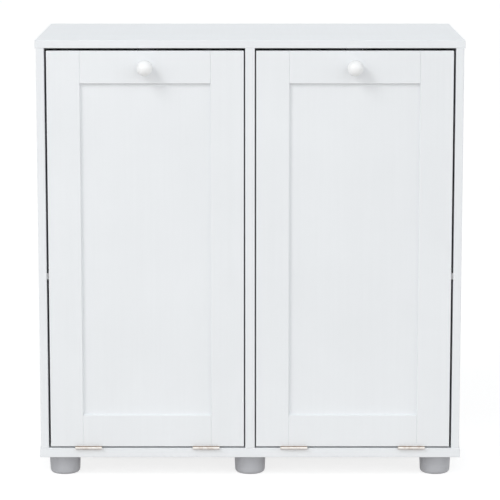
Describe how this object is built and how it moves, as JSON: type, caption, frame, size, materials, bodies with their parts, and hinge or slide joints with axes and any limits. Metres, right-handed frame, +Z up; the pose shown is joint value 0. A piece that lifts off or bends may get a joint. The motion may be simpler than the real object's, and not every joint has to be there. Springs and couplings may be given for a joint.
{
  "type": "tilt-out laundry cabinet",
  "caption": "Floor-standing laundry cabinet with inset frame-and-panel doors that tilt out on bottom hinges, each carrying a fabric laundry bag on a wire frame.",
  "frame": {"origin": "on the floor, in the middle of the overall box, knobs included", "axes": "+Z up, doors face -Y, +X to the right for someone who faces the doors"},
  "size_m": [0.8, 0.433, 0.833],
  "materials": {
    "carcass_paint": "satin white paint on board",
    "door_paint": "satin white paint on wood",
    "back_board": "raw hardboard, white film on the inner face",
    "knob_lacquer": "high gloss white",
    "hinge_nickel": "nickel-plated steel",
    "zinc": "zinc-plated steel",
    "foot_plastic": "matt grey plastic",
    "catch_plastic": "black plastic",
    "black_steel": "blackened steel screws",
    "magnet": "dark ferrite and steel",
    "wire_coating": "white powder coat",
    "beech": "raw beech",
    "bag_canvas": "cotton canvas"
  },
  "bodies": {
    "carcass": {"top_board": "carcass_paint", "base_board": "carcass_paint", "left_side": "carcass_paint", "right_side": "carcass_paint", "partition": "carcass_paint", "left_back_panel": "back_board", "right_back_panel": "back_board", "panel_pins": "zinc", "dowels": "beech", "cam_bolts": "zinc", "cam_locks": "zinc", "base_screws": "zinc", "front_left_foot": "foot_plastic", "front_middle_foot": "foot_plastic", "front_right_foot": "foot_plastic", "rear_left_foot": "foot_plastic", "rear_middle_foot": "foot_plastic", "rear_right_foot": "foot_plastic", "foot_screws": "zinc", "left_catch": "catch_plastic", "right_catch": "catch_plastic", "catch_magnets": "magnet", "catch_screws": "black_steel", "left_outer_base_leaf": "hinge_nickel", "left_inner_base_leaf": "hinge_nickel", "right_inner_base_leaf": "hinge_nickel", "right_outer_base_leaf": "hinge_nickel", "hinge_pins": "hinge_nickel", "base_leaf_screws": "hinge_nickel", "left_stay_stud": "zinc", "right_stay_stud": "zinc"},
    "left_door": {"left_door_outer_stile": "door_paint", "left_door_inner_stile": "door_paint", "left_door_top_rail": "door_paint", "left_door_bottom_rail": "door_paint", "left_door_panel": "door_paint", "left_knob": "knob_lacquer", "left_knob_screw": "zinc", "left_door_leaves": "hinge_nickel", "left_door_screws": "zinc", "left_strike_plate": "zinc", "left_stay": "zinc", "left_bag_frame": "wire_coating", "left_bag": "bag_canvas"},
    "right_door": {"right_door_outer_stile": "door_paint", "right_door_inner_stile": "door_paint", "right_door_top_rail": "door_paint", "right_door_bottom_rail": "door_paint", "right_door_panel": "door_paint", "right_knob": "knob_lacquer", "right_knob_screw": "zinc", "right_door_leaves": "hinge_nickel", "right_door_screws": "zinc", "right_strike_plate": "zinc", "right_stay": "zinc", "right_bag_frame": "wire_coating", "right_bag": "bag_canvas"}
  },
  "joints": [
    {"name": "left_door_tilt", "type": "hinge", "parent": "carcass", "child": "left_door", "pos_m": [-0.19525, -0.1866, 0.0575], "axis": [1, 0, 0], "range_deg": [0, 35]},
    {"name": "right_door_tilt", "type": "hinge", "parent": "carcass", "child": "right_door", "pos_m": [0.19525, -0.1866, 0.0575], "axis": [1, 0, 0], "range_deg": [0, 35]}
  ]
}
